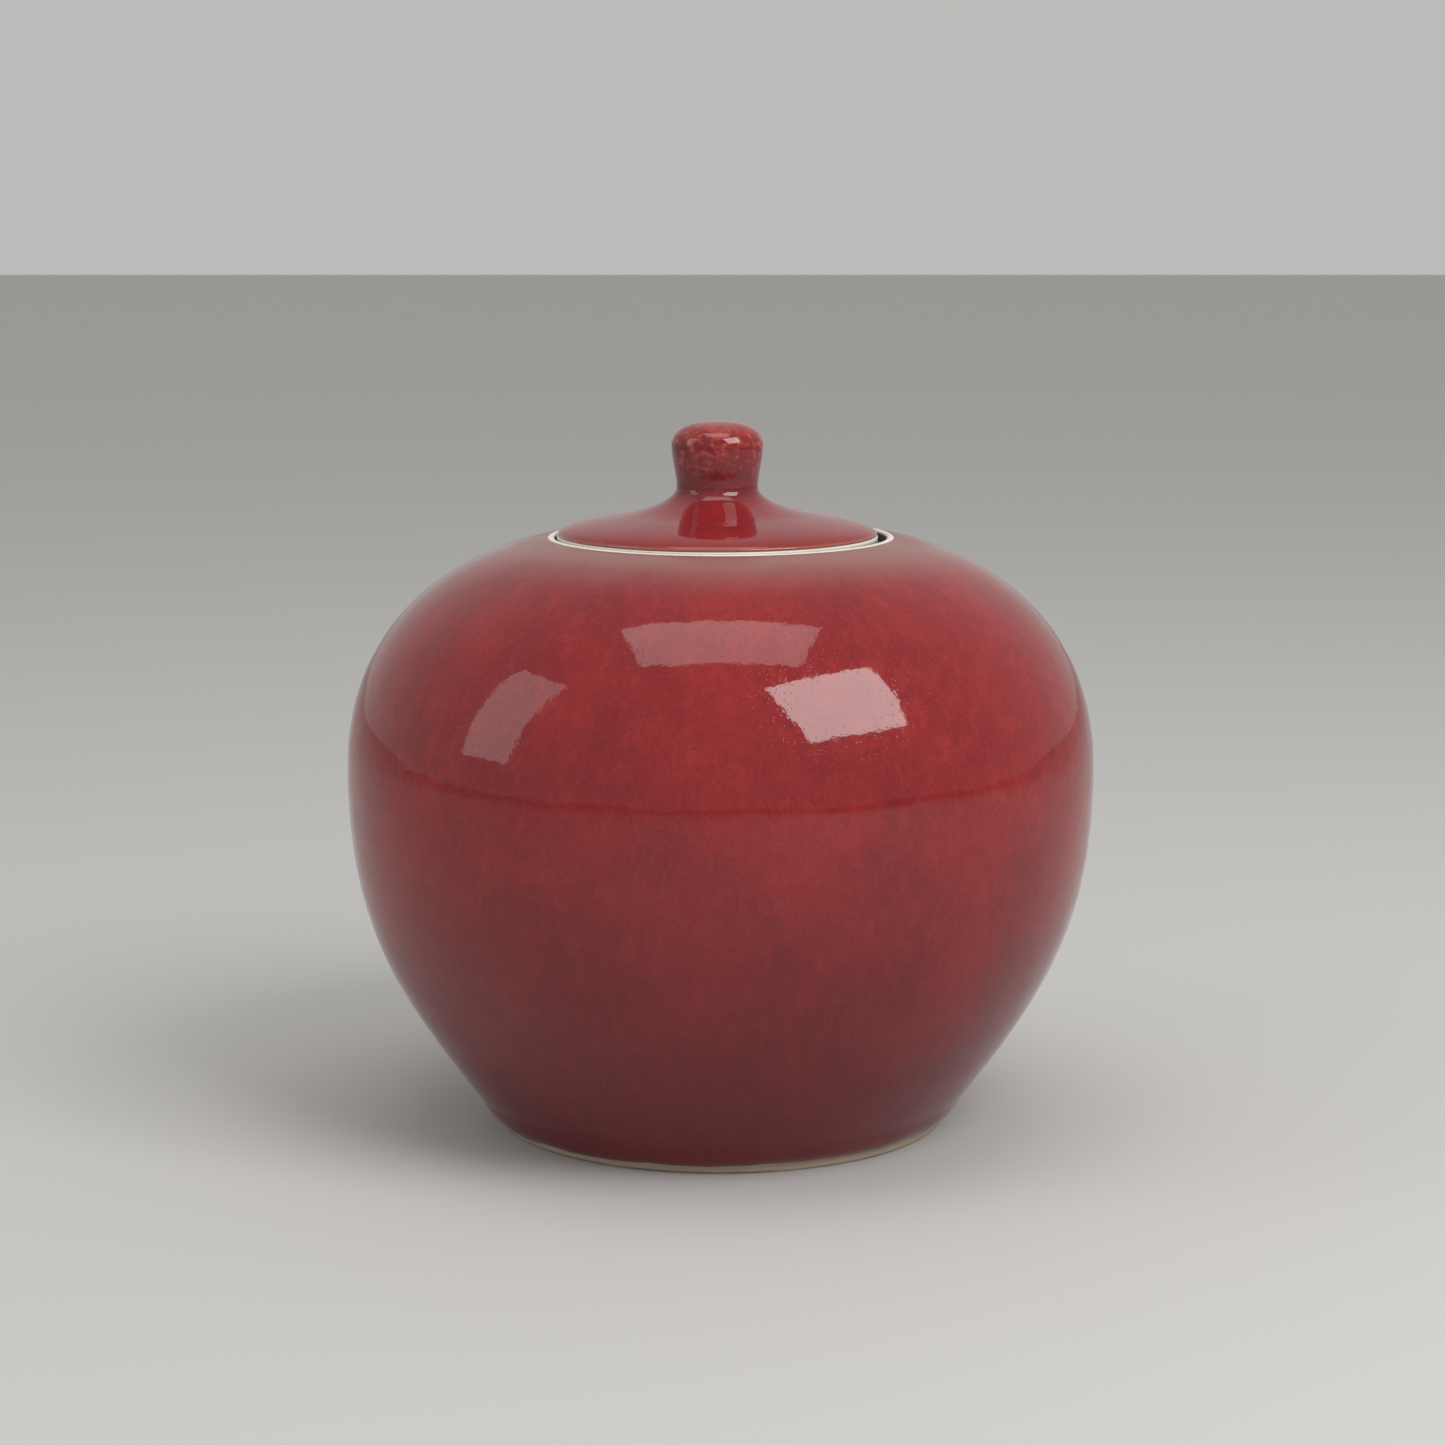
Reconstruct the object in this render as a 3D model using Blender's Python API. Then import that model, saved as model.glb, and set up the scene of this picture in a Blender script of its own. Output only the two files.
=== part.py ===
"""A round-bellied ginger jar with an inset lid and a bud knob, all turned about +Z.

Outlines are (radius, height) pairs in millimetres, and each solid is an outline turned about the axis.
"""

import math

import bpy

MM = 0.001
SEGMENTS = 56
MERGE = 0.00001

# Fit between pieces that touch, and thickness of the fired coats.
GAP = 0.3
GLAZE = 0.8
LINER = 0.5
COATED = GAP + GLAZE

# Outer outline of the jar, measured on the glaze.
LIP_TOP_Z = 160.5
MOUTH_R = 44.8
LIP_OUTER_R = 46.5
GLAZE_TOP_R = 46.9
GLAZE_TOP_Z = 160.3
SHOULDER_SLOPE = 10.8
SHOULDER_REACH = 29.0
BELLY_R = 101.5
BELLY_Z = 97.8
BELLY_RISE = 37.6
BELLY_DROP = 39.2
HEEL_R = 68.1
HEEL_Z = 9.5
HEEL_LEAN = 37.4
HEEL_REACH = 38.4
HEEL_TURN = 3.3
GLAZE_FOOT_R = 61.4
GLAZE_FOOT_Z = 1.9
GLAZE_FOOT_SLOPE = 15.0
GLAZE_FOOT_REACH = 3.5

# Foot ring and base.
FOOT_R = 60.9
FOOT_EDGE = 0.4
FOOT_INNER_R = 55.0
FOOT_INNER_LEAN = 1.2
BASE_Z = 6.0
BASE_ROUND = 1.0
BASE_GLAZE_R = 51.6

# Inside of the jar.
WALL = 4.6
FLOOR_Z = 11.0
FLOOR_R = 50.0
THROAT_R = 39.5
THROAT_LOW_Z = 154.6
COLLAR_LOW_R = 43.0
COLLAR_LOW_Z = 152.6
LEDGE_Z = 157.4
LEDGE_EDGE = 0.5
LINER_TOP_R = 47.5

# Lid, set down a little to one side of the mouth.
LID_SET_X = -0.9
LID_R = 43.3
LID_SEAT_Z = LEDGE_Z + GAP
LID_EDGE_TOP_Z = 161.7
LID_BEAD_R = 0.4
LID_GLAZE_R = 42.2
LID_GLAZE_Z = 162.35
LID_GLAZE_SLOPE = 25.0
LID_GLAZE_REACH = 5.0
DOME_R = 26.0
DOME_Z = 166.3
DOME_SLOPE = 9.1
DOME_OUT_REACH = 6.0
DOME_IN_REACH = 8.05
FLANGE_R = 38.0
FLANGE_INNER_R = 34.6
FLANGE_LOW_Z = 149.6
LID_UNDER_MID_Z = 162.2
LID_UNDER_EDGE_Z = 159.4
LID_LINER_R = 34.2

# Knob, turned by itself and stuck into a shallow socket in the lid.
KNOB_TOP_Z = 191.4
KNOB_CROWN_REACH = 7.4
KNOB_R = 12.35
KNOB_Z = 184.8
KNOB_RISE = 4.8
KNOB_DROP = 3.3
NECK_R = 10.95
NECK_Z = 173.8
NECK_RISE = 2.7
NECK_DROP = 3.2
KNOB_SEAT_Z = 168.2
TENON_R = 6.0
TENON_LENGTH = 3.2


def bezier(start, leave, arrive, end, steps):
    """Points of a cubic curve, each with its direction of travel."""
    samples = []
    for step in range(steps + 1):
        t = step / steps
        u = 1.0 - t
        point = []
        travel = []
        for a, b, c, d in zip(start, leave, arrive, end):
            point.append(u**3 * a + 3 * u * u * t * b + 3 * u * t * t * c + t**3 * d)
            travel.append(u * u * (b - a) + 2 * u * t * (c - b) + t * t * (d - c))
        samples.append((tuple(point), tuple(travel)))
    return samples


def joined(*curves):
    """One list of samples from curves that meet end to end."""
    samples = list(curves[0])
    for curve in curves[1:]:
        samples.extend(curve[1:])
    return samples


def sunk(samples, depth):
    """The outline moved into the material by depth, square to its own direction."""
    points = []
    for (r, z), (dr, dz) in samples:
        length = math.hypot(dr, dz)
        points.append((max(r + depth * dz / length, 0.0), z - depth * dr / length))
    return points


def radius_at(points, height):
    """The radius where a falling outline crosses a height."""
    for (high_r, high_z), (low_r, low_z) in zip(points, points[1:]):
        if low_z <= height <= high_z:
            return high_r + (low_r - high_r) * (high_z - height) / (high_z - low_z)
    return points[-1][0]


def arc(centre_r, centre_z, radius, first, last, steps):
    """Points on a circle, with angles in degrees from the outward direction towards up."""
    points = []
    for step in range(steps + 1):
        angle = math.radians(first + (last - first) * step / steps)
        points.append((centre_r + radius * math.cos(angle), centre_z + radius * math.sin(angle)))
    return points


def sloping(r, z, degrees, reach):
    """The point reach away from (r, z), heading out and down by degrees."""
    angle = math.radians(degrees)
    return (r + reach * math.cos(angle), z - reach * math.sin(angle))


def jar_outline():
    """The glazed outside of the jar, from the lip down to the foot."""
    belly = (BELLY_R, BELLY_Z)
    heel = (HEEL_R, HEEL_Z)
    lean = math.radians(HEEL_LEAN)
    inward = (math.sin(lean), math.cos(lean))
    shoulder = bezier(
        (GLAZE_TOP_R, GLAZE_TOP_Z),
        sloping(GLAZE_TOP_R, GLAZE_TOP_Z, SHOULDER_SLOPE, SHOULDER_REACH),
        (BELLY_R, BELLY_Z + BELLY_RISE),
        belly,
        7,
    )
    flank = bezier(
        belly,
        (BELLY_R, BELLY_Z - BELLY_DROP),
        (HEEL_R + HEEL_REACH * inward[0], HEEL_Z + HEEL_REACH * inward[1]),
        heel,
        6,
    )
    turn = bezier(
        heel,
        (HEEL_R - HEEL_TURN * inward[0], HEEL_Z - HEEL_TURN * inward[1]),
        sloping(GLAZE_FOOT_R, GLAZE_FOOT_Z, -GLAZE_FOOT_SLOPE, GLAZE_FOOT_REACH),
        (GLAZE_FOOT_R, GLAZE_FOOT_Z),
        3,
    )
    return shoulder, flank, turn


def lid_outline():
    """The glazed top of the knob and lid, from the crown of the knob out to the rim of the lid."""
    crown = bezier(
        (0.0, KNOB_TOP_Z),
        (KNOB_CROWN_REACH, KNOB_TOP_Z),
        (KNOB_R, KNOB_Z + KNOB_RISE),
        (KNOB_R, KNOB_Z),
        4,
    )
    waist = bezier(
        (KNOB_R, KNOB_Z),
        (KNOB_R, KNOB_Z - KNOB_DROP),
        (NECK_R, NECK_Z + NECK_RISE),
        (NECK_R, NECK_Z),
        3,
    )
    flare = bezier(
        (NECK_R, NECK_Z),
        (NECK_R, NECK_Z - NECK_DROP),
        sloping(DOME_R, DOME_Z, DOME_SLOPE, -DOME_IN_REACH),
        (DOME_R, DOME_Z),
        5,
    )
    dome = bezier(
        (DOME_R, DOME_Z),
        sloping(DOME_R, DOME_Z, DOME_SLOPE, DOME_OUT_REACH),
        sloping(LID_GLAZE_R, LID_GLAZE_Z, LID_GLAZE_SLOPE, -LID_GLAZE_REACH),
        (LID_GLAZE_R, LID_GLAZE_Z),
        3,
    )
    return joined(crown, waist, flare, dome)


def inside_of_jar(depth):
    """The hollow of the jar from the middle of its floor up to its ceiling, depth in from the outside."""
    shoulder, flank, _ = jar_outline()
    wall = sunk(joined(shoulder, flank), depth)
    wall.reverse()
    floor_z = FLOOR_Z + depth - COATED - WALL
    foot_of_wall = wall[0]
    corner = bezier(
        (FLOOR_R, floor_z),
        ((FLOOR_R + foot_of_wall[0]) / 2, floor_z),
        (foot_of_wall[0] - 1.5, foot_of_wall[1] - 1.9),
        foot_of_wall,
        3,
    )
    return [(0.0, floor_z)] + [point for point, _ in corner] + wall[1:]


def under_lid(depth, edge_r):
    """The domed underside of the lid from its edge to the middle, depth below the bare clay."""
    points = []
    for share in (1.0, 0.75, 0.4):
        rise = (LID_UNDER_MID_Z - LID_UNDER_EDGE_Z) * share * share
        points.append((edge_r * share, LID_UNDER_MID_Z - rise - depth))
    points.append((0.0, LID_UNDER_MID_Z - depth))
    return points


def material(name, colour, roughness):
    made = bpy.data.materials.new(name)
    made.use_nodes = True
    shader = made.node_tree.nodes["Principled BSDF"]
    shader.inputs["Base Color"].default_value = (*colour, 1.0)
    shader.inputs["Roughness"].default_value = roughness
    shader.inputs["Metallic"].default_value = 0.0
    made.diffuse_color = (*colour, 1.0)
    return made


def turned(name, outline, surface, shift_x=0.0, ring=False):
    """A solid turned about the vertical line through shift_x. A ring's outline closes on itself."""
    count = len(outline)
    edges = [(index, index + 1) for index in range(count - 1)]
    if ring:
        edges.append((count - 1, 0))
    mesh = bpy.data.meshes.new(name)
    mesh.from_pydata([(r * MM, 0.0, z * MM) for r, z in outline], edges, [])
    made = bpy.data.objects.new(name, mesh)
    made.location.x = shift_x * MM
    mesh.materials.append(surface)
    bpy.context.scene.collection.objects.link(made)
    screw = made.modifiers.new("Turn", "SCREW")
    screw.axis = "Z"
    screw.angle = math.tau
    screw.steps = SEGMENTS
    screw.render_steps = SEGMENTS
    screw.use_merge_vertices = True
    screw.merge_threshold = MERGE
    screw.use_smooth_shade = True
    return made


def build_jar(bare_clay, red_glaze, pale_glaze):
    shoulder, flank, turn = jar_outline()
    outside = joined(shoulder, flank, turn)

    lip_round = (LIP_OUTER_R - MOUTH_R) / 2
    lip = arc(MOUTH_R + lip_round, LIP_TOP_Z - lip_round, lip_round, 180, 0, 4)
    foot_ring = [
        (FOOT_R, GLAZE_FOOT_Z + COATED),
        (FOOT_R, FOOT_EDGE),
        (FOOT_R - FOOT_EDGE, 0.0),
        (FOOT_INNER_R + FOOT_EDGE, 0.0),
        (FOOT_INNER_R, FOOT_EDGE),
        (FOOT_INNER_R - FOOT_INNER_LEAN, BASE_Z - BASE_ROUND),
        (FOOT_INNER_R - FOOT_INNER_LEAN - BASE_ROUND, BASE_Z),
        (0.0, BASE_Z),
    ]
    hollow = [point for point in inside_of_jar(COATED + WALL) if point[0] > LINER_TOP_R or point[1] < BELLY_Z]
    collar = [
        (COLLAR_LOW_R, COLLAR_LOW_Z),
        ((COLLAR_LOW_R + 3 * THROAT_R) / 4, COLLAR_LOW_Z + 0.5),
        (THROAT_R, THROAT_LOW_Z),
        (THROAT_R, LEDGE_Z - LEDGE_EDGE),
        (THROAT_R + LEDGE_EDGE, LEDGE_Z),
        (MOUTH_R, LEDGE_Z),
    ]
    body = hollow + collar + lip + sunk(outside, COATED) + foot_ring
    turned("jar_body", body, bare_clay)

    coat = [point for point, _ in outside]
    backing = sunk(outside, GLAZE)
    backing.reverse()
    turned("jar_glaze", coat + backing, red_glaze, ring=True)

    lining = []
    for depth in (COATED + WALL + GAP + LINER, COATED + WALL + GAP):
        face = [point for point in inside_of_jar(depth) if point[0] > LINER_TOP_R or point[1] < BELLY_Z]
        lining.append(face)
    lining[1].reverse()
    turned("liner_glaze", lining[0] + lining[1], pale_glaze)

    top_z = BASE_Z - GAP
    patch = [(0.0, top_z), (BASE_GLAZE_R, top_z), (BASE_GLAZE_R, top_z - LINER), (0.0, top_z - LINER)]
    turned("base_glaze", patch, pale_glaze)


def build_lid(bare_clay, red_glaze, pale_glaze):
    outside = lid_outline()
    clay = sunk(outside, COATED)

    knob = [point for point in clay if point[1] > KNOB_SEAT_Z]
    seat_r = radius_at(clay, KNOB_SEAT_Z)
    tenon_low_z = KNOB_SEAT_Z - TENON_LENGTH
    knob += [(seat_r, KNOB_SEAT_Z), (TENON_R, KNOB_SEAT_Z), (TENON_R, tenon_low_z), (0.0, tenon_low_z)]
    turned("lid_knob", knob, bare_clay, LID_SET_X)

    socket_r = TENON_R + GAP
    socket_low_z = tenon_low_z - GAP
    socket_top_z = KNOB_SEAT_Z - GAP
    socket = [(0.0, socket_low_z), (socket_r, socket_low_z), (socket_r, socket_top_z)]
    socket.append((radius_at(clay, socket_top_z), socket_top_z))
    dome = [point for point in clay if point[1] < socket_top_z]
    rim = arc(LID_R - LID_BEAD_R, LID_EDGE_TOP_Z - LID_BEAD_R, LID_BEAD_R, 180, 0, 3)
    flange_round = (FLANGE_R - FLANGE_INNER_R) / 2
    flange = arc(FLANGE_R - flange_round, FLANGE_LOW_Z + flange_round, flange_round, 0, -180, 4)
    disc = [(LID_R, LID_SEAT_Z + LEDGE_EDGE), (LID_R - LEDGE_EDGE, LID_SEAT_Z), (FLANGE_R, LID_SEAT_Z)]
    lid = socket + dome + rim + disc + flange + under_lid(0.0, FLANGE_INNER_R)
    turned("lid_body", lid, bare_clay, LID_SET_X)

    coat = [point for point, _ in outside]
    backing = sunk(outside, GLAZE)
    backing.reverse()
    turned("lid_glaze", coat + backing, red_glaze, LID_SET_X)

    top = under_lid(GAP, LID_LINER_R)
    top.reverse()
    turned("lid_liner_glaze", top + under_lid(GAP + LINER, LID_LINER_R), pale_glaze, LID_SET_X)


def main():
    for old in list(bpy.data.objects):
        bpy.data.objects.remove(old)
    bare_clay = material("bare_porcelain", (0.80, 0.76, 0.70), 0.55)
    red_glaze = material("oxblood_glaze", (0.20, 0.008, 0.012), 0.06)
    pale_glaze = material("clear_glaze", (0.74, 0.74, 0.70), 0.10)
    build_jar(bare_clay, red_glaze, pale_glaze)
    build_lid(bare_clay, red_glaze, pale_glaze)


main()
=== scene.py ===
import math

import bpy
import numpy as np
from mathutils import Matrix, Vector, noise


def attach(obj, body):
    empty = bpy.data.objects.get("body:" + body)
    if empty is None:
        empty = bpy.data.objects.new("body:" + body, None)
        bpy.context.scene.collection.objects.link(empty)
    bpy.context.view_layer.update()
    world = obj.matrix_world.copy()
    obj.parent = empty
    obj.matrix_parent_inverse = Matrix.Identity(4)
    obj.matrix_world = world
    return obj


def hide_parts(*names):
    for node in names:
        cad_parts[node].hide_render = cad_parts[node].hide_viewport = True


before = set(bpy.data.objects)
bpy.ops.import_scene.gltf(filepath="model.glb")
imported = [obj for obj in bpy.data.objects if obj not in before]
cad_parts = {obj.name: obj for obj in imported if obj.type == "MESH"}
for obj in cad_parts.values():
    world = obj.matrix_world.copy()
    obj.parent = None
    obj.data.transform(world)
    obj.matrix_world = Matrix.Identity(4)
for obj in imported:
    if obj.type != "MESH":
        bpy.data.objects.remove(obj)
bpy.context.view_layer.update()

MM = 0.001

# Driving dimensions of the jar in millimetres: _R is a radius from its axis, _Z a height above the table.
LIP_TOP_Z = 160.5
MOUTH_R = 44.8
GLAZE_TOP_R = 46.9
GLAZE_TOP_Z = 160.3
BELLY_R = 101.5
BELLY_Z = 97.8
HEEL_R = 68.1
HEEL_Z = 9.5
GLAZE_FOOT_R = 61.4
GLAZE_FOOT_Z = 1.9
FOOT_R = 60.9
FOOT_FLAT_R = 55.7
RECESS_R = 54.1
BASE_Z = 6.0
FLOOR_R = 50.0
FLOOR_Z = 11.0
NARROWING_R = 48.0
THROAT_R = 39.5
THROAT_Z = 154.6
LEDGE_Z = 157.4

# The lid's, with radii from its own axis, which stands at x = LID_X.
LID_X = -0.9
KNOB_TOP_Z = 191.4
KNOB_R = 12.35
KNOB_WIDE_Z = 184.8
WAIST_R = 10.95
WAIST_Z = 173.8
DOME_R = 26.0
DOME_Z = 166.3
DOME_SLOPE = 9.1
LID_GLAZE_R = 43.15
LID_GLAZE_Z = 161.2
LID_R = 43.3
LID_RIM_Z = 157.7
FLANGE_R = 38.0
FLANGE_INNER_R = 34.6
FLANGE_END_Z = 151.3
CEILING_Z = 162.2
CEILING_DROP = 2.8
SEAM_Z = 168.2
TENON_R = 6.0
TENON_Z = 165.0
SOCKET_GAP = 0.3

# How far each layer's face lies behind the outside, square to it.
COAT_BACK = 0.8
CLAY_FACE = 1.1
HOLLOW_FACE = 5.7
LID_COAT_BACK = 0.5

ON_AXIS = 1e-4
# The flow coordinate goes round a circle of this one radius at every height, so streaks narrow with the pot.
FLOW_R = 60.0


# ---------------------------------------------------------------- outlines, as (radius, height) points

def bezier(start, leave, arrive, end, steps):
    t = np.linspace(0.0, 1.0, steps + 1)[:, None]
    u = 1.0 - t
    a, b, c, d = (np.array(p, float) for p in (start, leave, arrive, end))
    return u**3 * a + 3 * u * u * t * b + 3 * u * t * t * c + t**3 * d


def line(start, end, steps):
    t = np.linspace(0.0, 1.0, steps + 1)[:, None]
    return np.array(start, float) * (1 - t) + np.array(end, float) * t


def arc(r, z, radius, first, last, steps, squeeze=1.0):
    """A stretch of a circle about (r, z), between two angles in degrees; squeeze flattens it upright."""
    angles = np.radians(np.linspace(first, last, steps + 1))
    return np.stack([r + radius * np.cos(angles), z + radius * squeeze * np.sin(angles)], 1)


def chain(*curves):
    """The curves end to end, without the double point where one starts at the end of the last."""
    parts = [np.array(curves[0], float)]
    for curve in curves[1:]:
        curve = np.array(curve, float)
        if np.allclose(curve[0], parts[-1][-1]):
            curve = curve[1:]
        parts.append(curve)
    return np.vstack(parts)


def sloping(r, z, degrees, reach):
    """The point that lies reach from (r, z), outwards and down at a slope."""
    angle = math.radians(degrees)
    return (r + reach * math.cos(angle), z - reach * math.sin(angle))


def leaning(reach):
    """The point that lies reach from the heel, up along the flank's lean; a negative reach goes down."""
    lean = math.radians(37.4)
    return (HEEL_R + reach * math.sin(lean), HEEL_Z + reach * math.cos(lean))


def side_of(points):
    """Unit normals of an outline: they point outwards where it runs down its outer side."""
    travel = np.gradient(points, axis=0)
    travel /= np.maximum(np.hypot(travel[:, 0], travel[:, 1])[:, None], 1e-9)
    return np.stack([-travel[:, 1], travel[:, 0]], 1)


def sunk(points, depth):
    """The outline moved inwards by depth, and never past the axis."""
    moved = points - side_of(points) * depth
    moved[:, 0] = np.maximum(moved[:, 0], 0.0)
    return moved


SHOULDER = bezier((GLAZE_TOP_R, GLAZE_TOP_Z), sloping(GLAZE_TOP_R, GLAZE_TOP_Z, 10.8, 29.0),
                  (BELLY_R, BELLY_Z + 37.6), (BELLY_R, BELLY_Z), 70)
FLANK = bezier((BELLY_R, BELLY_Z), (BELLY_R, BELLY_Z - 39.2), leaning(38.4), (HEEL_R, HEEL_Z), 60)
HEEL = bezier((HEEL_R, HEEL_Z), leaning(-3.3),
              sloping(GLAZE_FOOT_R, GLAZE_FOOT_Z, -15.0, 3.5), (GLAZE_FOOT_R, GLAZE_FOOT_Z), 16)
OUTSIDE = chain(SHOULDER, FLANK, HEEL)
ABOVE_HEEL = len(chain(SHOULDER, FLANK))

CROWN = bezier((0.0, KNOB_TOP_Z), (7.4, KNOB_TOP_Z), (KNOB_R, 189.6), (KNOB_R, KNOB_WIDE_Z), 26)
WAIST = bezier((KNOB_R, KNOB_WIDE_Z), (KNOB_R, 181.5), (WAIST_R, 176.5), (WAIST_R, WAIST_Z), 18)
FLARE = bezier((WAIST_R, WAIST_Z), (WAIST_R, 170.6),
               sloping(DOME_R, DOME_Z, DOME_SLOPE, -8.05), (DOME_R, DOME_Z), 28)
DOME = bezier((DOME_R, DOME_Z), sloping(DOME_R, DOME_Z, DOME_SLOPE, 6.0),
              sloping(LID_GLAZE_R, LID_GLAZE_Z, 70.0, -2.6), (LID_GLAZE_R, LID_GLAZE_Z), 26)
LID_TOP = chain(CROWN, WAIST, FLARE, DOME)


# ---------------------------------------------------------------- meshes

def turn(name, outline, segments, ring=False, centre_x=0.0, wobble=None):
    """A surface turned about the vertical line through centre_x, with a flow coordinate along its outline.

    ring joins the outline's end to its start. wobble(theta, r, z) gives (dr, dz) in millimetres.
    Outline ends on the axis become poles.
    """
    outline = np.array(outline, float)
    rows = len(outline)
    steps = np.hypot(*np.diff(outline, axis=0).T)
    along = np.concatenate([[0.0], np.cumsum(steps)])
    pole = [r < ON_AXIS for r, z in outline]
    verts, flow, faces, first = [], [], [], []
    for index, (r, z) in enumerate(outline):
        first.append(len(verts))
        if pole[index]:
            verts.append((centre_x * MM, 0.0, z * MM))
            flow.append((0.0, 0.0, along[index] * MM))
            continue
        for k in range(segments):
            theta = math.tau * k / segments
            dr, dz = wobble(theta, r, z) if wobble else (0.0, 0.0)
            c, s = math.cos(theta), math.sin(theta)
            verts.append(((centre_x + (r + dr) * c) * MM, (r + dr) * s * MM, (z + dz) * MM))
            flow.append((FLOW_R * c * MM, FLOW_R * s * MM, along[index] * MM))
    for i in range(rows if ring else rows - 1):
        j = (i + 1) % rows
        if pole[i] and pole[j]:
            continue
        for k in range(segments):
            n = (k + 1) % segments
            if pole[i]:
                faces.append((first[i], first[j] + k, first[j] + n))
            elif pole[j]:
                faces.append((first[i] + n, first[i] + k, first[j]))
            else:
                faces.append((first[i] + n, first[i] + k, first[j] + k, first[j] + n))
    mesh = bpy.data.meshes.new(name)
    mesh.from_pydata(verts, [], faces)
    attribute = mesh.attributes.new("flow", "FLOAT_VECTOR", "POINT")
    attribute.data.foreach_set("vector", np.array(flow, np.float32).ravel())
    mesh.shade_smooth()
    made = bpy.data.objects.new(name, mesh)
    bpy.context.scene.collection.objects.link(made)
    return made


def ripple(theta, z, seed, scale):
    """Smooth noise from -1 to 1 that closes on itself round the pot."""
    return noise.noise(Vector((math.cos(theta) * scale, math.sin(theta) * scale, z * 0.01 * scale + seed)))


def unevenness(theta, z):
    """Slow unevenness of a hand-turned, thickly glazed pot, in its radius. It only ever goes inwards."""
    below_lip = min(1.0, max(0.0, (160.0 - z) / 12.0))
    above_foot = min(1.0, max(0.0, (z - 6.0) / 10.0))
    slow = 0.11 * ripple(theta, z, 3.1, 2.2) + 0.05 * ripple(theta, z, 9.7, 7.0)
    rings = 0.022 * math.sin(z * 0.62 + 1.5 * ripple(theta, z, 5.0, 1.2))
    highest = 0.18
    return below_lip * above_foot * (min(slow + rings, highest) - highest)


def foot_edge(theta):
    """How far the glaze's lower edge hangs below its mean line, in millimetres, with one longer run."""
    c, s = math.cos(theta), math.sin(theta)
    slow = 0.5 * noise.noise(Vector((c * 2.3, s * 2.3, 4.0)))
    quick = 0.35 * noise.noise(Vector((c * 7.0, s * 7.0, 8.0)))
    from_run = math.remainder(theta - math.radians(213.0), math.tau)
    run = 0.9 * math.exp(-(from_run / 0.10) ** 2)
    return slow + quick + run - 0.35 * c - 0.35


def coat_wobble(theta, r, z):
    """Unevenness all over the outer coat, and its ragged lower edge, which fades out upwards."""
    fade, lowest_z = 7.0, 0.75
    share = max(0.0, 1.0 - max(z - GLAZE_FOOT_Z, 0.0) / fade)
    drop = foot_edge(theta) * share
    return unevenness(theta, z) - 0.45 * drop, max(-drop, lowest_z - z)


def body_wobble(theta, r, z):
    """The jar's clay moves in by 0.1 mm below the belly and on the upper shoulder, behind the uneven coat."""
    if 90.0 < z < 150.0 or r < 62.5:
        return 0.0, 0.0
    return -0.1, 0.0


# ---------------------------------------------------------------- materials

class Nodes:
    """Short calls for building one material's node tree."""

    def __init__(self, name):
        self.material = bpy.data.materials.new(name)
        self.material.use_nodes = True
        self.tree = self.material.node_tree
        self.shader = self.tree.nodes["Principled BSDF"]

    def put(self, socket, value):
        if isinstance(value, bpy.types.NodeSocket):
            self.tree.links.new(value, socket)
        else:
            socket.default_value = value

    def set(self, **inputs):
        """Shader inputs, with _ for a space."""
        for key, value in inputs.items():
            self.put(self.shader.inputs[key.replace("_", " ")], value)

    def node(self, kind, out=0, settings=None, **inputs):
        """A new node's output. Inputs go by name, with _ for a space, or by number as i0, i1 and so on."""
        made = self.tree.nodes.new(kind)
        for key, value in (settings or {}).items():
            setattr(made, key, value)
        for key, value in inputs.items():
            index = int(key[1:]) if key[0] == "i" and key[1:].isdigit() else key.replace("_", " ")
            self.put(made.inputs[index], value)
        return made.outputs[out]

    def math(self, operation, a, b):
        return self.node("ShaderNodeMath", 0, {"operation": operation}, i0=a, i1=b)

    def times(self, product, *factors):
        for factor in factors:
            product = self.math("MULTIPLY", product, factor)
        return product

    def vector_math(self, operation, a, b=(0.0, 0.0, 0.0), out=0):
        return self.node("ShaderNodeVectorMath", out, {"operation": operation}, i0=a, i1=b)

    def mix(self, factor, a, b):
        return self.node("ShaderNodeMix", 2, {"data_type": "RGBA"}, i0=factor, i6=a, i7=b)

    def over(self, colour, *layers):
        """The colour with each layer's tint laid over it in turn, by that layer's share."""
        for share, tint in layers:
            colour = self.mix(share, colour, tint)
        return colour

    def spread(self, value, low, high, to_low=0.0, to_high=1.0):
        """A soft step from to_low where value is low to to_high where it is high; low may be the larger."""
        return self.node("ShaderNodeMapRange", 0, {"interpolation_type": "SMOOTHSTEP"},
                         i0=value, i1=low, i2=high, i3=to_low, i4=to_high)

    def noise(self, vector, scale, detail=2.0, rough=0.5, distort=0.0, out=0):
        """Noise with scale features to the metre."""
        return self.node("ShaderNodeTexNoise", out, None, Vector=vector, Scale=scale, Detail=detail,
                         Roughness=rough, Distortion=distort)

    def voronoi(self, vector, scale, feature="F1"):
        return self.node("ShaderNodeTexVoronoi", 0, {"feature": feature}, Vector=vector, Scale=scale)

    def flow(self, across, along):
        """The flow coordinate, stretched: a low share along makes streaks that run down the pot."""
        vector = self.node("ShaderNodeAttribute", 1, {"attribute_name": "flow"})
        return self.vector_math("MULTIPLY", vector, (across, across, along))

    def place(self):
        """The place on the object, in metres. It stays with the lid when the lid lifts."""
        return self.node("ShaderNodeTexCoord", 3)

    def height(self):
        """Height in millimetres, on the same scale as the driving dimensions."""
        return self.times(self.node("ShaderNodeSeparateXYZ", 2, None, i0=self.place()), 1000.0)

    def radius(self):
        """Distance in millimetres from the jar's axis."""
        level = self.vector_math("MULTIPLY", self.place(), (1000.0, 1000.0, 0.0))
        return self.vector_math("LENGTH", level, out=1)

    def bump(self, height, strength, distance, normal=None):
        """A bumped normal, over another if one is given; distance is in metres."""
        under = {} if normal is None else {"Normal": normal}
        return self.node("ShaderNodeBump", 0, None, Strength=strength, Distance=distance,
                         Height=height, **under)


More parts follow.
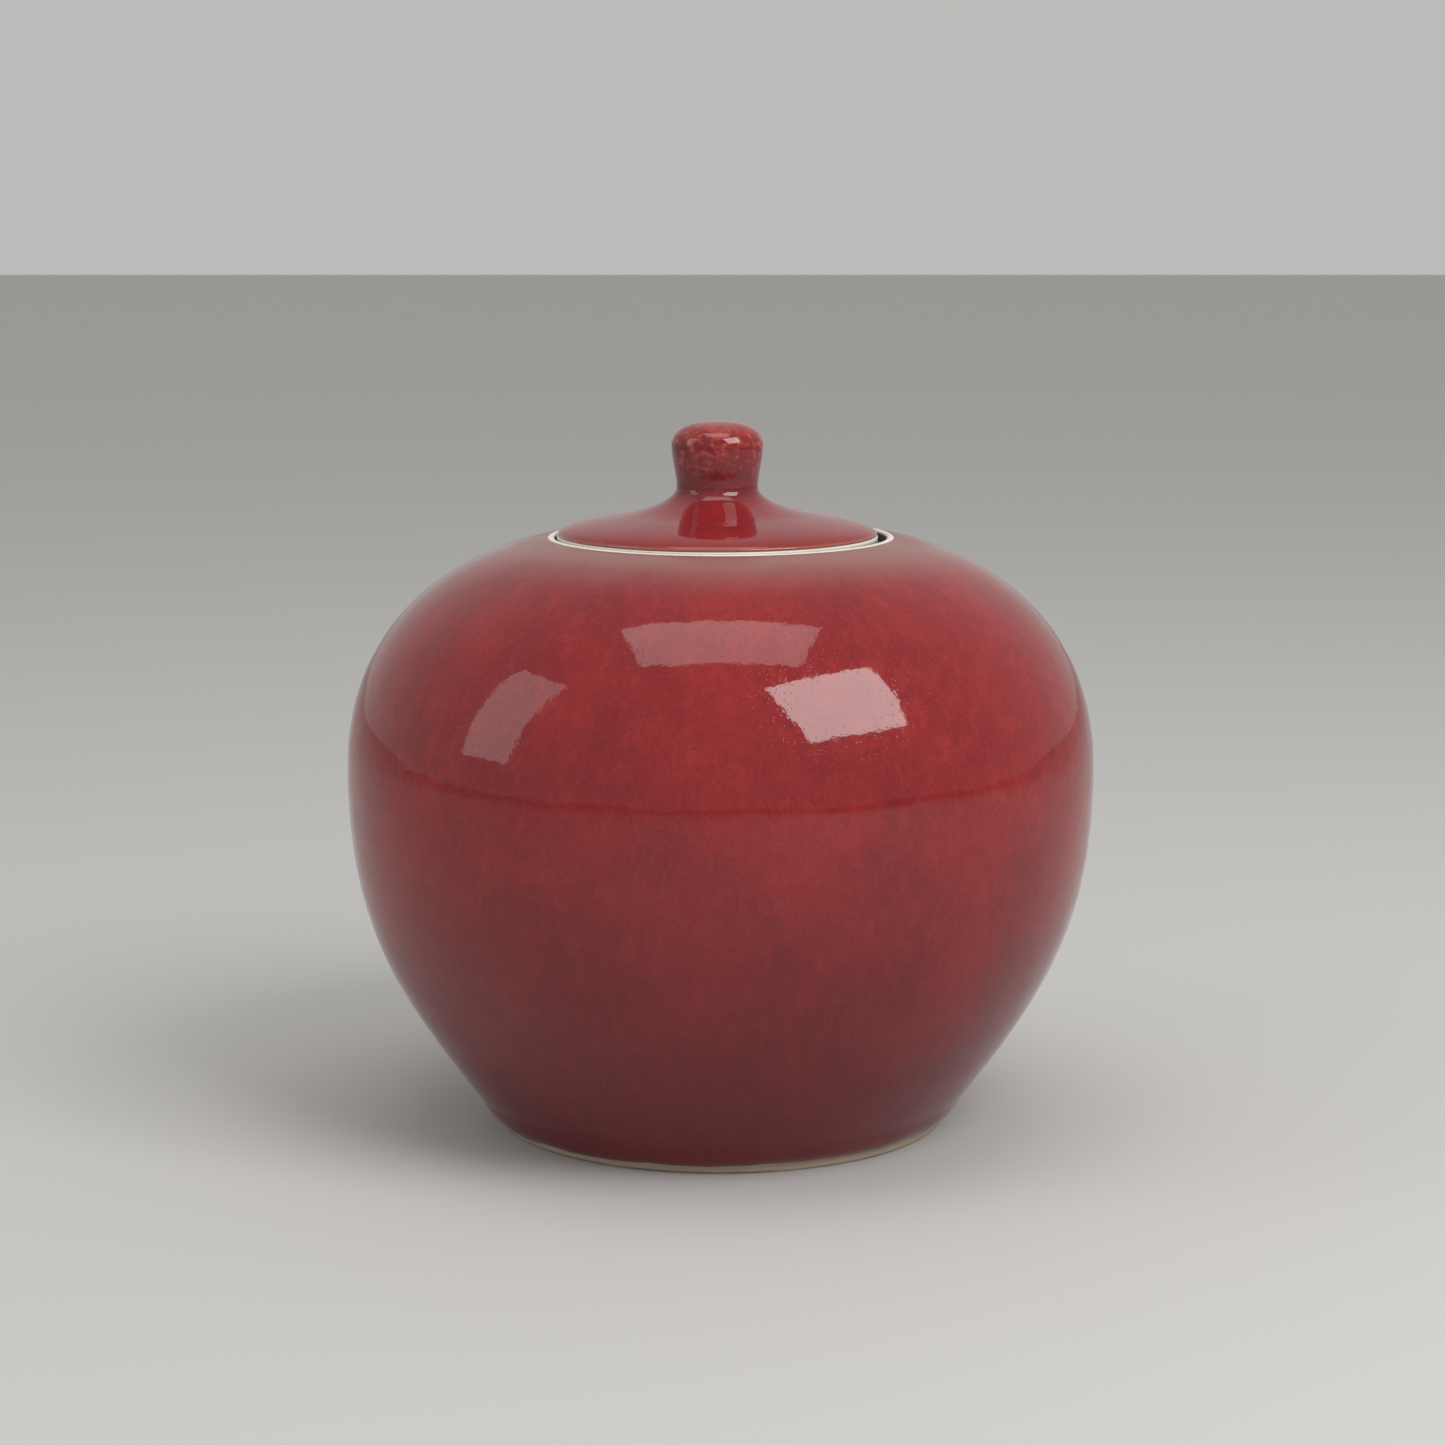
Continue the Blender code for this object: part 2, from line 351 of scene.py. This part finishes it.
# Linear colours of the copper-red glaze.
DEEP_RED = (0.215, 0.0072, 0.0102, 1.0)
BLOOD_RED = (0.285, 0.0105, 0.0125, 1.0)
BRIGHT_RED = (0.370, 0.0200, 0.0195, 1.0)
PALE_STREAK = (0.42, 0.040, 0.034, 1.0)
DARK_STREAK = (0.13, 0.003, 0.006, 1.0)
PALE_GRAIN = (0.50, 0.08, 0.06, 1.0)
DARK_FLECK = (0.115, 0.0030, 0.0070, 1.0)
PALE_FLECK = (0.40, 0.028, 0.024, 1.0)
WASHED_RED = (0.27, 0.085, 0.075, 1.0)
GREYED_RED = (0.31, 0.145, 0.125, 1.0)
# Darker towards the foot: partly the glaze pooling there, partly painted shade on the lower body.
POOLED_AND_SHADED_RED = (0.070, 0.0020, 0.0092, 1.0)
# Painted sheen: a paler rose laid over the lid's dome and the foot of its knob.
DOME_PAINTED_SHEEN = (0.26, 0.036, 0.040, 1.0)
DARK_WAIST = (0.115, 0.007, 0.013, 1.0)
DARK_RING = (0.100, 0.008, 0.012, 1.0)
PALE_RING = (0.46, 0.10, 0.08, 1.0)
THIN_CROWN = (0.46, 0.07, 0.055, 1.0)
THIN_EDGE = (0.42, 0.16, 0.12, 1.0)

# Linear colours of the clay and the clear glaze.
CREAM_CLAY = (0.76, 0.70, 0.62, 1.0)
WHITE_CLAY = (0.86, 0.82, 0.75, 1.0)
CLAY_GRAIN = (0.70, 0.62, 0.52, 1.0)
IRON_SPECK = (0.30, 0.17, 0.09, 1.0)
# Painted shade: the dark colour laid in the gap between the lid and the jar's lip.
SEAM_PAINTED_SHADE = (0.050, 0.030, 0.023, 1.0)
TOASTED_CLAY = (0.42, 0.31, 0.22, 1.0)
FOOT_DIRT = (0.13, 0.10, 0.08, 1.0)
GREEN_GLAZE = (0.66, 0.69, 0.60, 1.0)
WHITE_GLAZE = (0.80, 0.80, 0.74, 1.0)
CRACKLE = (0.40, 0.31, 0.22, 1.0)


def red_ground(n, height, blotch, mottle):
    """The glaze's colour away from its edges: clouds, mottle, streaks that run down, grain and flecks."""
    streak = n.noise(n.flow(1.0, 0.10), 900.0, 3.0, 0.55, 0.2)
    grain = n.noise(n.place(), 2600.0, 2.0, 0.6)
    flecks = n.noise(n.place(), 1150.0, 3.0, 0.65, 0.5)
    runs = n.spread(height, 145.0, 105.0, 0.06, 0.20)
    return n.over(
        n.mix(n.spread(blotch, 0.30, 0.70), DEEP_RED, BLOOD_RED),
        (n.times(n.spread(mottle, 0.42, 0.75), 0.45), BRIGHT_RED),
        (n.times(n.spread(streak, 0.55, 0.80), runs), PALE_STREAK),
        (n.times(n.spread(streak, 0.20, 0.42, 1.0, 0.0), runs), DARK_STREAK),
        (n.times(n.spread(grain, 0.60, 0.85), 0.22), PALE_GRAIN),
        (n.spread(flecks, 0.50, 0.30, 0.0, 0.42), DARK_FLECK),
        (n.spread(flecks, 0.54, 0.72, 0.0, 0.30), PALE_FLECK),
    )


def lid_marks(n, colour, height, mottle):
    """Throwing rings and a dark waist on the knob, thin pale glaze on its crown and at the lid's edge, and a
    painted sheen on the dome.
    """
    rings = n.noise(n.flow(0.16, 1.0), 560.0, 2.0, 0.55, 0.3)
    on_knob = n.spread(height, 169.0, 173.0)
    upper_knob = n.times(n.spread(height, 176.0, 181.0), n.spread(height, 190.6, 189.0))
    return n.over(
        colour,
        # Painted sheen over the dome, fading out up the knob's flare.
        (n.spread(height, 176.0, 170.0, 0.0, 0.30), DOME_PAINTED_SHEEN),
        (n.times(on_knob, n.spread(height, 181.5, 177.0, 0.0, 0.35)), DARK_WAIST),
        (n.times(on_knob, n.spread(rings, 0.34, 0.60, 0.45, 0.0)), DARK_RING),
        (n.times(upper_knob, n.spread(rings, 0.48, 0.70, 0.0, 0.60)), PALE_RING),
        (n.times(n.spread(height, 186.5, 190.5), n.spread(mottle, 0.30, 0.62, 0.10, 0.55)), THIN_CROWN),
        (n.times(n.spread(height, 162.0, LID_GLAZE_Z), 0.7), THIN_EDGE),
    )


def jar_marks(n, colour, height, blotch):
    """Glaze worn thin and grey under the lip, and darker towards the foot along a cloudy line: partly pooled
    glaze, partly painted shade.
    """
    cloudy_height = n.math("ADD", height, n.times(blotch, 20.0))
    return n.over(
        colour,
        (n.times(n.spread(height, 152.0, 159.8), n.spread(blotch, 0.3, 0.6, 0.45, 0.85)), WASHED_RED),
        (n.spread(height, 157.0, 160.0, 0.0, 0.6), GREYED_RED),
        # Darker towards the foot: partly pooled glaze, partly painted shade.
        (n.times(n.spread(cloudy_height, 126.0, 18.0), 0.62), POOLED_AND_SHADED_RED),
    )


def glaze_surface(n):
    """A slow swell, the fine peel of a thick glaze, and small pits."""
    swell = n.noise(n.place(), 90.0, 1.0)
    peel = n.noise(n.place(), 420.0)
    pits = n.spread(n.voronoi(n.place(), 900.0), 0.0, 0.20)
    normal = n.bump(swell, 0.30, 0.0004)
    normal = n.bump(peel, 0.16, 0.00014, normal)
    return n.bump(pits, 0.40, 0.000055, normal)


def oxblood(name, lid=False):
    """Copper-red glaze: mottled and streaked, thin and pale on edges, on the lid a painted sheen over the
    dome, and on the jar darker near the foot, partly pooled glaze and partly painted shade.
    """
    n = Nodes(name)
    height = n.height()
    blotch = n.noise(n.flow(1.0, 0.6), 55.0, 4.0, 0.55, 0.4)
    # On the lid the flow coordinate would draw the mottle into a star on the knob's top.
    mottle = n.noise(n.place() if lid else n.flow(1.0, 0.5), 330.0, 3.0, 0.6, 0.6)
    colour = red_ground(n, height, blotch, mottle)
    rough = n.spread(mottle, 0.3, 0.75, 0.03, 0.07)
    if lid:
        colour = lid_marks(n, colour, height, mottle)
    else:
        colour = jar_marks(n, colour, height, blotch)
        dull = n.times(n.spread(height, 156.0, 160.0), n.spread(blotch, 0.25, 0.65, 0.55, 1.0))
        rough = n.math("ADD", rough, n.times(dull, 0.30))
    n.set(Base_Color=colour, Roughness=rough, IOR=1.55, Normal=glaze_surface(n))
    return n.material


def seam_shade_area(n, height):
    """1 on the rebate inside the lip and on the lid's edge beside it, where shade in the gap between them is
    painted on.
    """
    return n.times(n.spread(height, 160.3, 159.6), n.spread(height, 156.6, 157.1),
                   n.spread(n.radius(), 42.0, 42.6), n.spread(n.radius(), 45.6, 45.2))


def porcelain(name, lid=False):
    """Bare fired clay: warm white, fine grain, iron specks, painted shade along the seam between lid and lip,
    and on the jar a toasted foot.
    """
    n = Nodes(name)
    height = n.height()
    cloud = n.noise(n.place(), 60.0, 3.0, 0.55)
    grain = n.noise(n.place(), 1800.0, 3.0, 0.6)
    specks = n.voronoi(n.place(), 420.0)
    # How strongly the painted shade of the seam shows: blotchy, and fainter on the lid than in the jar's
    # rebate.
    seam_shade_share = n.spread(cloud, 0.35, 0.60, 0.25, 0.75) if lid else n.spread(cloud, 0.25, 0.50, 0.80, 0.97)
    colour = n.over(
        n.mix(n.spread(cloud, 0.3, 0.7), CREAM_CLAY, WHITE_CLAY),
        (n.times(n.spread(grain, 0.35, 0.7), 0.35), CLAY_GRAIN),
        (n.spread(specks, 0.10, 0.06), IRON_SPECK),
        # Painted shade in the gap between lid and lip.
        (n.times(seam_shade_area(n, height), seam_shade_share), SEAM_PAINTED_SHADE),
    )
    if not lid:
        colour = n.over(
            colour,
            (n.times(n.spread(height, 8.0, 1.0), 0.85), TOASTED_CLAY),
            (n.times(n.spread(height, 0.9, 0.0), n.spread(cloud, 0.35, 0.6), 0.7), FOOT_DIRT),
        )
    normal = n.bump(cloud, 0.2, 0.0003, n.bump(grain, 0.25, 0.00006))
    n.set(Base_Color=colour, Roughness=n.spread(grain, 0.3, 0.7, 0.42, 0.62), Normal=normal,
          Subsurface_Weight=0.08, Subsurface_Radius=(0.003, 0.002, 0.0012))
    return n.material


def clear_glaze(name):
    """Clear glaze over white clay: faintly green where it pools, with a fine net of crackle."""
    n = Nodes(name)
    cloud = n.noise(n.place(), 45.0, 3.0)
    waver = n.node("ShaderNodeVectorMath", 0, {"operation": "SCALE"},
                   i0=n.noise(n.place(), 70.0, 1.0, out=1), Scale=0.006)
    cracks = n.voronoi(n.vector_math("ADD", n.place(), waver), 110.0, "DISTANCE_TO_EDGE")
    colour = n.over(
        n.mix(n.spread(cloud, 0.3, 0.7), GREEN_GLAZE, WHITE_GLAZE),
        (n.times(n.spread(cracks, 0.022, 0.004), 0.28), CRACKLE),
    )
    peel = n.bump(n.noise(n.place(), 260.0), 0.15, 0.0002)
    n.set(Base_Color=colour, Roughness=n.spread(cloud, 0.3, 0.7, 0.06, 0.12), IOR=1.5,
          Normal=n.bump(n.spread(cracks, 0.0, 0.02), 0.1, 0.00003, peel))
    return n.material


def dress(obj, material, body, slot, *replaced):
    obj.data.materials.append(material)
    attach(obj, body)
    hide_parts(*replaced)


RED = oxblood("oxblood_jar")
RED_LID = oxblood("oxblood_lid", lid=True)
CLAY = porcelain("porcelain_jar")
CLAY_LID = porcelain("porcelain_lid", lid=True)
PALE = clear_glaze("clear_glaze")


# ---------------------------------------------------------------- the jar

def outer_coat():
    """The red coat's closed section: its upper edge rolls over to meet the bare lip."""
    rolled_top = arc(GLAZE_TOP_R + 0.12, GLAZE_TOP_Z - 0.30, 0.30, 180, 95, 6)
    rolled_foot = arc(GLAZE_FOOT_R - 0.05, GLAZE_FOOT_Z + 0.33, 0.33, -75, -190, 6)
    back = sunk(OUTSIDE, COAT_BACK)[3:-3][::-3]
    return chain(rolled_top, OUTSIDE[2:], rolled_foot, back)


def hollow_wall(depth, top_r):
    """The hollow's wall from above the heel up to radius top_r by the throat, depth inside the bare clay."""
    wall = sunk(OUTSIDE[:ABOVE_HEEL], HOLLOW_FACE + depth)[::-1]
    lower_half = wall[:, 1] < 90.0
    return wall[lower_half | (wall[:, 0] > top_r)]


def hollow_face(depth, top_r):
    """The hollow from the middle of its floor, round the corner and up its wall."""
    wall = hollow_wall(depth, top_r)
    floor_z = FLOOR_Z + depth
    below_wall = (wall[0][0] - 2.4, wall[0][1] - 3.0)
    bend = bezier((FLOOR_R, floor_z), (FLOOR_R + 6.0, floor_z), below_wall, wall[0], 10)
    return chain(line((0.0, floor_z), (FLOOR_R, floor_z), 10), bend, wall[::2])


def throat_and_lip():
    """From the top of the hollow's wall: the throat, the ledge for the lid, the rebate and the bare lip."""
    edge = 0.5
    wall_top = hollow_wall(0.0, NARROWING_R)[-1]
    ceiling = bezier(wall_top, (45.5, 153.3), (40.2, 151.9), (THROAT_R, THROAT_Z), 10)
    lip = arc(MOUTH_R + 1.05, LIP_TOP_Z - 0.85, 1.05, 180, 0, 14, squeeze=0.85 / 1.05)
    return chain(
        ceiling,
        line((THROAT_R, THROAT_Z), (THROAT_R, LEDGE_Z - edge), 2),
        arc(THROAT_R + edge, LEDGE_Z - edge, edge, 180, 90, 4),
        line((THROAT_R + edge, LEDGE_Z), (MOUTH_R - edge, LEDGE_Z), 4),
        arc(MOUTH_R - edge, LEDGE_Z + edge, edge, -90, 0, 4),
        line((MOUTH_R, LEDGE_Z + edge), lip[0], 2),
        lip,
        line(lip[-1], (46.85, 159.0), 1),
    )


def foot_ring():
    """Down the outside of the foot, across the flat that it stands on, and up to the recessed base."""
    edge, corner = 0.7, 1.5
    return chain(
        line((FOOT_R, 3.0), (FOOT_R, edge), 4),
        arc(FOOT_R - edge, edge, edge, 0, -90, 5),
        line((FOOT_R - edge, 0.0), (FOOT_FLAT_R, 0.0), 5),
        arc(FOOT_FLAT_R, edge, edge, -90, -180, 5),
        line((FOOT_FLAT_R - edge, edge), (RECESS_R, BASE_Z - corner - 0.1), 4),
        arc(RECESS_R - corner, BASE_Z - corner, corner, 0, 90, 6),
        line((RECESS_R - corner, BASE_Z), (0.0, BASE_Z), 14),
    )


def inner_coat():
    """The hollow's clear lining, up one face and back down the other."""
    top_r, front, back = NARROWING_R + 1.0, 0.8, 0.3
    return chain(hollow_face(front, top_r), hollow_face(back, top_r)[::-1])


def base_coat():
    """The clear glaze on the recessed base, with a round edge."""
    edge_r, top, bottom = 51.4, 5.7, 5.2
    half = (top - bottom) / 2
    return chain(
        line((0.0, top), (edge_r, top), 12),
        arc(edge_r, bottom + half, half, 90, -90, 5),
        line((edge_r, bottom), (0.0, bottom), 12),
    )


jar_clay = chain(hollow_face(0.0, NARROWING_R), throat_and_lip(), sunk(OUTSIDE, CLAY_FACE)[3:], foot_ring())

jar_glaze = turn("jar_outer_glaze", outer_coat(), 288, ring=True, wobble=coat_wobble)
dress(jar_glaze, RED, "jar", "oxblood_glaze", "jar_glaze")
jar_body = turn("jar_porcelain", jar_clay, 192, wobble=body_wobble)
dress(jar_body, CLAY, "jar", "bare_porcelain", "jar_body")
jar_lining = turn("jar_inner_glaze", inner_coat(), 160)
dress(jar_lining, PALE, "jar", "clear_glaze", "liner_glaze")
base = turn("base_glaze_coat", base_coat(), 160)
dress(base, PALE, "jar", "clear_glaze", "base_glaze")


# ---------------------------------------------------------------- the lid

def lid_ceiling(radius, gap=0.0):
    """The lid's shallow domed ceiling from its middle outwards, gap below the clay."""
    share = np.linspace(0.0, 1.0, 14)
    return np.stack([radius * share, CEILING_Z - gap - CEILING_DROP * share * share], 1)


def lid_coat():
    """The red coat over the lid and its knob, rolled under at its edge."""
    rolled_edge = arc(42.86, 161.05, 0.27, 20, -120, 5)
    back = sunk(LID_TOP, LID_COAT_BACK)[-3:0:-3]
    return chain(LID_TOP, rolled_edge, back, [(0.0, KNOB_TOP_Z - 0.8)])


def lid_disc():
    """The lid's clay: the socket for the knob's tenon, the dome, the rim, and the flange that locates it."""
    socket_r, socket_z, dome_top_z = TENON_R + SOCKET_GAP, TENON_Z - SOCKET_GAP, SEAM_Z - SOCKET_GAP
    dome = LID_CLAY[(LID_CLAY[:, 1] < dome_top_z) & (LID_CLAY[:, 0] < 42.2)]
    shoulder, edge, corner, flange_half = 0.45, 0.5, 0.6, (FLANGE_R - FLANGE_INNER_R) / 2
    shoulder_z = 160.35
    return chain(
        [(0.0, socket_z), (socket_r, socket_z), (socket_r, dome_top_z)],
        dome,
        arc(LID_R - shoulder, shoulder_z, shoulder, 110, 0, 6),
        line((LID_R, shoulder_z), (LID_R, LID_RIM_Z + edge), 4),
        arc(LID_R - edge, LID_RIM_Z + edge, edge, 0, -90, 4),
        line((LID_R - edge, LID_RIM_Z), (FLANGE_R + corner, LID_RIM_Z), 4),
        arc(FLANGE_R + corner, LID_RIM_Z - corner, corner, 90, 180, 4),
        line((FLANGE_R, LID_RIM_Z - corner), (FLANGE_R, FLANGE_END_Z), 5),
        arc(FLANGE_R - flange_half, FLANGE_END_Z, flange_half, 0, -180, 14),
        line((FLANGE_INNER_R, FLANGE_END_Z), (FLANGE_INNER_R, 158.8), 6),
        lid_ceiling(FLANGE_INNER_R)[::-1],
    )


def knob_with_tenon():
    outside = LID_CLAY[LID_CLAY[:, 1] > SEAM_Z][::2]
    return chain(outside, [(15.0, SEAM_Z), (TENON_R, SEAM_Z), (TENON_R, TENON_Z), (0.0, TENON_Z)])


def lid_liner():
    """The clear coat under the lid, 0.5 mm thick."""
    top = lid_ceiling(34.2, gap=0.3)
    return chain(top, top[::-1] - np.array([0.0, 0.5]))


LID_CLAY = sunk(LID_TOP, CLAY_FACE)

lid_glaze = turn("lid_outer_glaze", lid_coat(), 224, centre_x=LID_X)
dress(lid_glaze, RED_LID, "lid", "oxblood_glaze", "lid_glaze")
lid_body = turn("lid_porcelain", lid_disc(), 192, centre_x=LID_X)
dress(lid_body, CLAY_LID, "lid", "bare_porcelain", "lid_body")
knob = turn("knob_porcelain", knob_with_tenon(), 96, centre_x=LID_X)
dress(knob, CLAY_LID, "lid", "bare_porcelain", "lid_knob")
lid_lining = turn("lid_inner_glaze", lid_liner(), 160, centre_x=LID_X)
dress(lid_lining, PALE, "lid", "clear_glaze", "lid_liner_glaze")


# ---------------------------------------------------------------- floor, light, camera

FLOOR_REACH = 6.0
FLOOR_COLOUR = (0.60, 0.595, 0.58, 1.0)
BACKDROP_COLOUR = (1.0, 0.995, 0.975, 1.0)
BACKDROP_LEVEL = 0.50
JAR_MIDDLE = Vector((0.0, 0.0, 0.1))
SENSOR_MM = 36.0
LENS_MM = 89.8904
CAMERA_AT = (0.0005, -0.970, 0.26763)
CAMERA_DOWN = 9.272


def stage_floor():
    """A plain pale floor, the same in every direction."""
    a = FLOOR_REACH
    mesh = bpy.data.meshes.new("floor")
    mesh.from_pydata([(-a, -a, 0), (a, -a, 0), (a, a, 0), (-a, a, 0)], [], [(0, 1, 2, 3)])
    floor = bpy.data.objects.new("floor", mesh)
    bpy.context.scene.collection.objects.link(floor)
    n = Nodes("floor_pale")
    n.set(Base_Color=FLOOR_COLOUR, Roughness=0.7, Specular_IOR_Level=0.2)
    mesh.materials.append(n.material)


def plain_world():
    """The same pale light from everywhere, which is the backdrop too."""
    world = bpy.data.worlds.new("studio")
    bpy.context.scene.world = world
    world.use_nodes = True
    background = world.node_tree.nodes["Background"]
    background.inputs["Color"].default_value = BACKDROP_COLOUR
    background.inputs["Strength"].default_value = BACKDROP_LEVEL


def softbox(name, azimuth, elevation, distance, width, height, radiance):
    """A rectangular area light that faces the jar; azimuth 0 is the camera's side, positive to its right."""
    data = bpy.data.lights.new(name, "AREA")
    data.shape = "RECTANGLE"
    data.size = width
    data.size_y = height
    data.energy = radiance * math.pi * width * height
    made = bpy.data.objects.new(name, data)
    a, e = math.radians(azimuth), math.radians(elevation)
    away = Vector((math.sin(a) * math.cos(e), -math.cos(a) * math.cos(e), math.sin(e)))
    made.location = away * distance + JAR_MIDDLE
    made.rotation_euler = away.to_track_quat("Z", "Y").to_euler()
    made.visible_camera = False
    bpy.context.scene.collection.objects.link(made)


def studio_lights():
    softbox("key", azimuth=45.0, elevation=42.0, distance=1.4, width=0.8, height=0.8, radiance=5.5)
    softbox("top", azimuth=0.0, elevation=84.0, distance=1.5, width=1.0, height=0.7, radiance=1.6)
    softbox("side_fill", azimuth=-75.0, elevation=28.0, distance=1.5, width=0.5, height=1.0, radiance=1.2)


def add_camera():
    """A camera at the photograph's viewing angle, looking slightly down."""
    data = bpy.data.cameras.new("camera")
    data.sensor_width = SENSOR_MM
    data.lens = LENS_MM
    data.clip_start = 0.01
    data.clip_end = 50.0
    camera = bpy.data.objects.new("camera", data)
    camera.location = CAMERA_AT
    camera.rotation_euler = (math.radians(90.0 - CAMERA_DOWN), 0.0, 0.0)
    bpy.context.scene.collection.objects.link(camera)
    bpy.context.scene.camera = camera


stage_floor()
plain_world()
studio_lights()
add_camera()
bpy.context.scene.view_settings.view_transform = "Standard"
